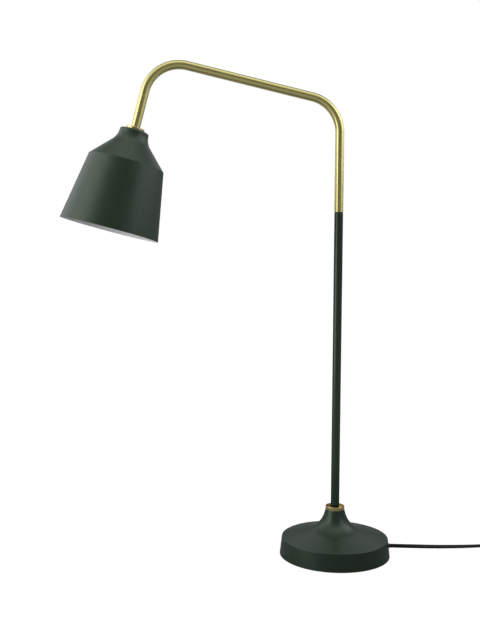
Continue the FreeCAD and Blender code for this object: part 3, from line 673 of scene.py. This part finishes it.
def holder_skirt(material):
    """Body of the lampholder with ribs round it, turned as one piece."""
    top, bottom = -HOLDER_BODY_S, -HOLDER_END_S
    profile = [(HOLDER_BORE_R, top), (HOLDER_R - HOLDER_EDGE, top), (HOLDER_R, top - HOLDER_EDGE)]
    start = top - HOLDER_PLAIN
    pitch = (bottom + HOLDER_PLAIN - start) / HOLDER_RIBS
    for k in range(HOLDER_RIBS):
        for j in range(RIB_POINTS):
            phase = j / RIB_POINTS
            radius = HOLDER_R - RIB_SINK - RIB_WAVE * math.cos(math.tau * phase)
            profile.append((radius, start + pitch * (k + phase)))
    inwards, upwards = HOLDER_LIP
    profile += [(HOLDER_R, bottom + upwards), (HOLDER_R - inwards, bottom), (HOLDER_BORE_R, bottom)]
    return lathe("holder_thread", profile, material)


# ---------------------------------------------------------------- scene

def paint(node, material, inner=None, inside=None):
    """Give a CAD node its material; faces for which inside() is true take the inner one."""
    mesh = nodes[node].data
    mesh.materials.clear()
    mesh.materials.append(material)
    if inner is not None:
        mesh.materials.append(inner)
        for polygon in mesh.polygons:
            polygon.material_index = 1 if inside(polygon) else 0


def inside_shade(polygon):
    """True on the inner wall: the face looks towards the axis, or straight down above the rim."""
    place = shade_frame().inverted()
    centre = place @ polygon.center
    normal = place.to_3x3() @ polygon.normal
    outwards = Vector((centre.x, centre.y, 0)).normalized()
    if abs(normal.z) > LEVEL_FACE and centre.z > -SHADE_MOUTH_S + SHADE_RIM:
        return normal.z < 0
    return normal.dot(outwards) < INNER_FACE


def dress(material, *names):
    """Give some CAD nodes one material."""
    for name in names:
        paint(name, material)


def finish_frame(m):
    """Materials of the CAD pieces that are shown as they are."""
    dress(m["green"], "base_cover")
    dress(m["pole"], "pole_tube")
    paint("shade", m["shade"], m["white"], inside_shade)
    dress(m["turned"], "base_collar", "shade_collar", "swivel_spigot", "swivel_bush",
          "holder_contact")
    dress(m["iron"], "base_weight")
    dress(m["steel"], "base_plate")
    dress(m["foam"], "base_pad")
    dress(m["zinc"], "plate_screws", "clamp_screws", "pole_stem", "stem_washer",
          "stem_lock_washer", "stem_nut", "stop_pin", "spigot_clip", "switch_screws",
          "rocker_pin", "arm_nipple", "holder_shell", "plug_pins")
    dress(m["nylon"], "cord_gland", "gland_nut", "cord_clamp", "swivel_washer")
    dress(m["sheath"], "flex_lower", "flex_upper")
    dress(m["holder"], "holder_cap", "holder_ring")
    dress(m["switch"], "switch_base", "switch_cover", "plug_relief", "plug_body")
    dress(m["rocker"], "switch_rocker")


def light(name, place, towards, size, radiance):
    """Rectangular softbox of an even brightness, as the camera would read it."""
    data = bpy.data.lights.new(name, "AREA")
    data.shape = "RECTANGLE"
    data.size, data.size_y = size
    data.energy = radiance * math.pi * size[0] * size[1]
    lamp = bpy.data.objects.new(name, data)
    bpy.context.scene.collection.objects.link(lamp)
    lamp.location = place
    lamp.rotation_mode = "QUATERNION"
    lamp.rotation_quaternion = (Vector(towards) - Vector(place)).to_track_quat("-Z", "Y")


def make_world():
    """White background for the camera; dim surroundings for everything else."""
    world = bpy.data.worlds.new("studio")
    world.use_nodes = True
    tree = world.node_tree
    seen = tree.nodes["Background"]
    seen.inputs["Color"].default_value = (1, 1, 1, 1)
    seen.inputs["Strength"].default_value = 1.0
    dim = tree.nodes.new("ShaderNodeBackground")
    dim.inputs["Color"].default_value = (1, 1, 1, 1)
    dim.inputs["Strength"].default_value = DIM_WORLD
    ray = tree.nodes.new("ShaderNodeLightPath")
    mix = tree.nodes.new("ShaderNodeMixShader")
    tree.links.new(ray.outputs["Is Camera Ray"], mix.inputs["Fac"])
    tree.links.new(dim.outputs["Background"], mix.inputs[1])
    tree.links.new(seen.outputs["Background"], mix.inputs[2])
    tree.links.new(mix.outputs["Shader"], tree.nodes["World Output"].inputs["Surface"])
    bpy.context.scene.world = world


def make_studio():
    """Pale floor, softboxes to the left, the right and behind, and one overhead."""
    mesh = bpy.data.meshes.new("floor")
    reach = FLOOR_REACH
    corners = [(-reach, -reach, 0), (reach, -reach, 0), (reach, reach, 0), (-reach, reach, 0)]
    mesh.from_pydata(corners, [], [(0, 1, 2, 3)])
    mesh.materials.append(plain_floor())
    floor = bpy.data.objects.new("floor", mesh)
    bpy.context.scene.collection.objects.link(floor)
    make_world()
    for name, (azimuth, distance, height, width, tall, brightness) in SOFTBOXES.items():
        turn = math.radians(azimuth)
        middle = Vector((LIT_X, 0, height))
        place = middle + Vector((math.sin(turn), -math.cos(turn), 0)) * distance
        light(name, place, middle, (width, tall), brightness)
    y, height, width, depth, brightness = TOP_BOX
    light("top_box", (LIT_X, y, height), (LIT_X, y, 0), (width, depth), brightness)
    bpy.context.scene.view_settings.view_transform = "Standard"


def main():
    make_camera()
    lead, tail = make_cords()
    m = {
        "green": powder_coat("green_base_coat", GREEN, 0.38),
        "pole": powder_coat("green_pole_coat", GREEN, 0.24),
        "shade": powder_coat("green_shade_coat", GREEN, 0.44),
        "white": white_lacquer(),
        "brass": brushed_brass(),
        "turned": turned_brass(),
        "iron": cast_iron(),
        "steel": black_steel(),
        "foam": foam_rubber(),
        "zinc": zinc(),
        "nylon": moulded("black_nylon", (0.006, 0.006, 0.007), 0.60),
        "holder": moulded("holder_plastic", (0.020, 0.020, 0.021), 0.34),
        "switch": moulded("switch_plastic", (0.015, 0.015, 0.016), 0.40),
        "rocker": moulded("rocker_plastic", (0.022, 0.022, 0.023), 0.30, 2200, 0.00001),
        "sheath": cord_sheath(),
        "glass": frosted_glass(),
    }
    finish_frame(m)

    for cord in (lead, tail):
        cord.data.materials.append(m["sheath"])
        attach(cord, "base")
    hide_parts("cord_lead")
    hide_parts("cord_tail", "cord_coil", "cord_end")

    arm = arm_mesh(m["brass"])
    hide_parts("arm_tube")
    globe = bulb_mesh(m["glass"])
    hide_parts("bulb_glass")
    thread = bulb_thread(m["zinc"])
    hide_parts("bulb_cap")
    skirt = holder_skirt(m["holder"])
    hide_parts("holder_body")
    for piece in (arm, globe, thread, skirt):
        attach(piece, "arm")
    make_studio()


main()
